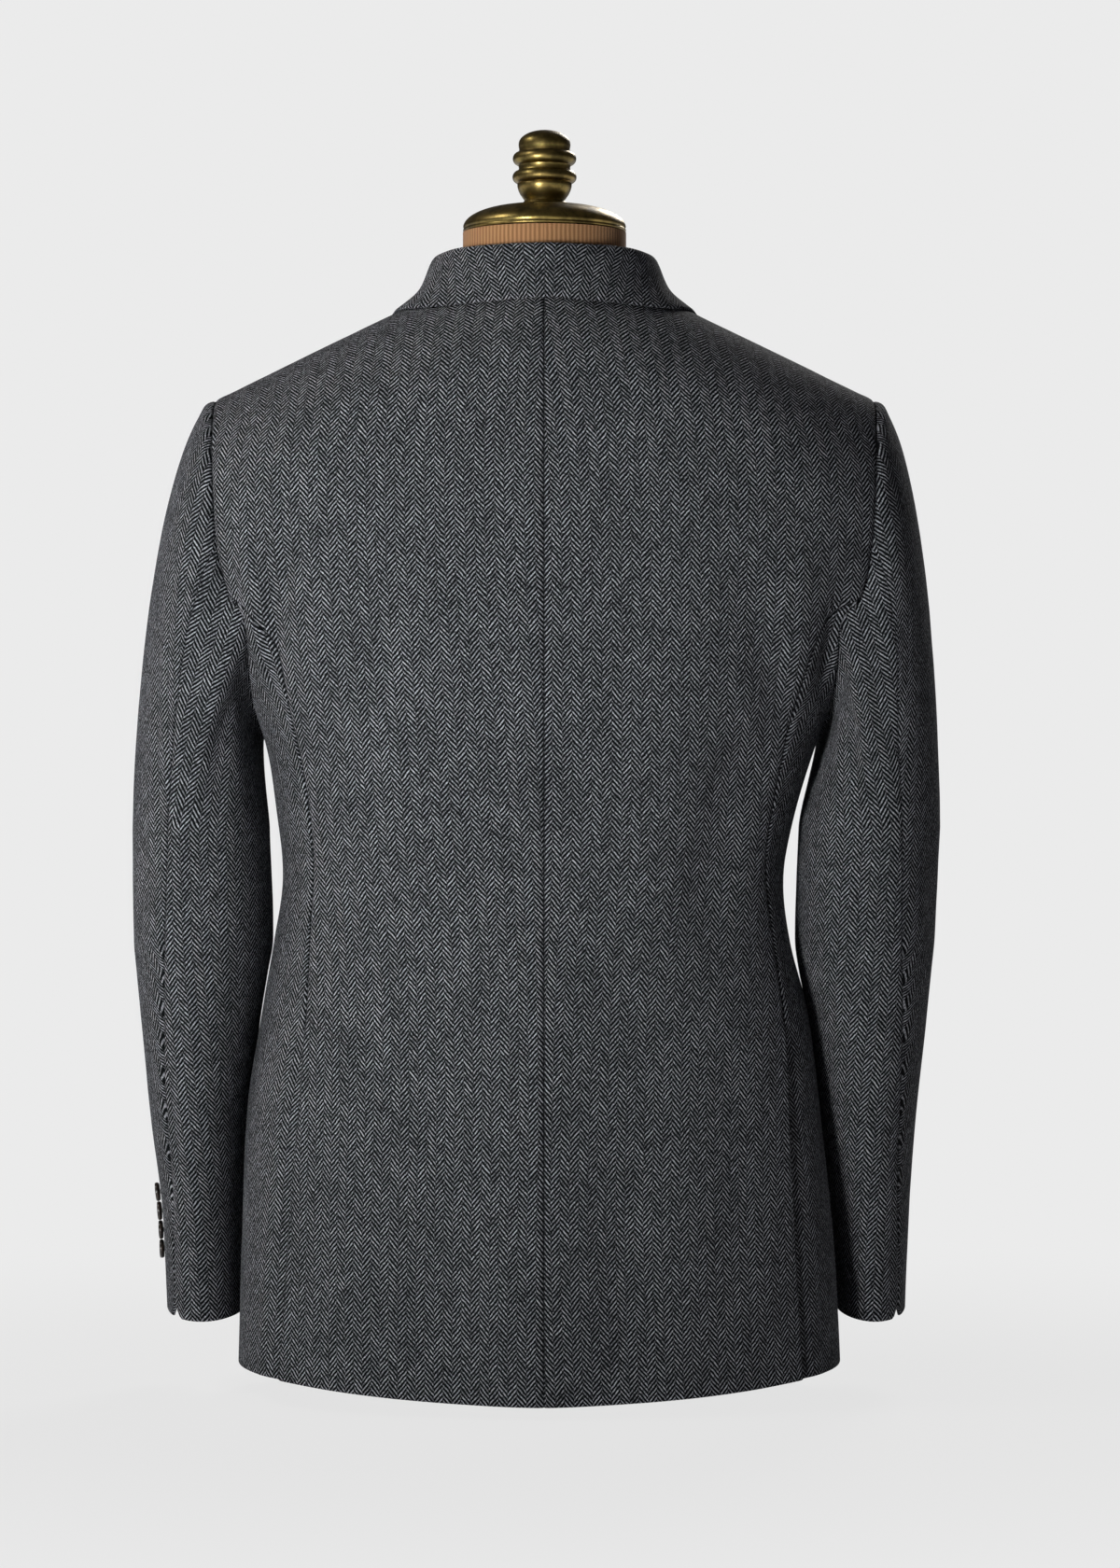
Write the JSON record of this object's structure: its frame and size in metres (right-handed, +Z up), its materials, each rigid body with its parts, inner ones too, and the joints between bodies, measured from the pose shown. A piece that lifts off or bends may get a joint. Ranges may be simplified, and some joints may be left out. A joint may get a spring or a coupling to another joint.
{
  "type": "sport coat on a limbless dress form",
  "caption": "Tailored wool herringbone sport coat with notch lapels, side vents and flap pockets, standing on a limbless countertop dress form with a brass neck cap and finial.",
  "frame": {"origin": "on the floor under the form, where the base rests", "axes": "+Z up; the coat's front faces -Y, and the wearer's left is +X"},
  "size_m": [0.5711, 0.2948, 0.8905],
  "materials": {
    "wool": "grey herringbone wool, soft and matt",
    "horn": "dark polished horn",
    "linen": "plain tan jersey cover",
    "brass": "aged, waxed",
    "wood": "dark stained, satin"
  },
  "bodies": {
    "root": {"back_left": "wool", "back_right": "wool", "side_left": "wool", "side_right": "wool", "front_left": "wool", "front_right": "wool", "lapel_left": "wool", "lapel_right": "wool", "collar": "wool", "top_sleeve_left": "wool", "top_sleeve_right": "wool", "under_sleeve_left": "wool", "under_sleeve_right": "wool", "flap_left": "wool", "flap_right": "wool", "breast_welt": "wool", "front_button_1": "horn", "front_button_2": "horn", "cuff_button_left_1": "horn", "cuff_button_left_2": "horn", "cuff_button_left_3": "horn", "cuff_button_left_4": "horn", "cuff_button_right_1": "horn", "cuff_button_right_2": "horn", "cuff_button_right_3": "horn", "cuff_button_right_4": "horn", "form_torso": "linen", "neck_cap": "brass", "finial": "brass", "form_foot": "brass", "form_base": "wood"}
  },
  "joints": []
}
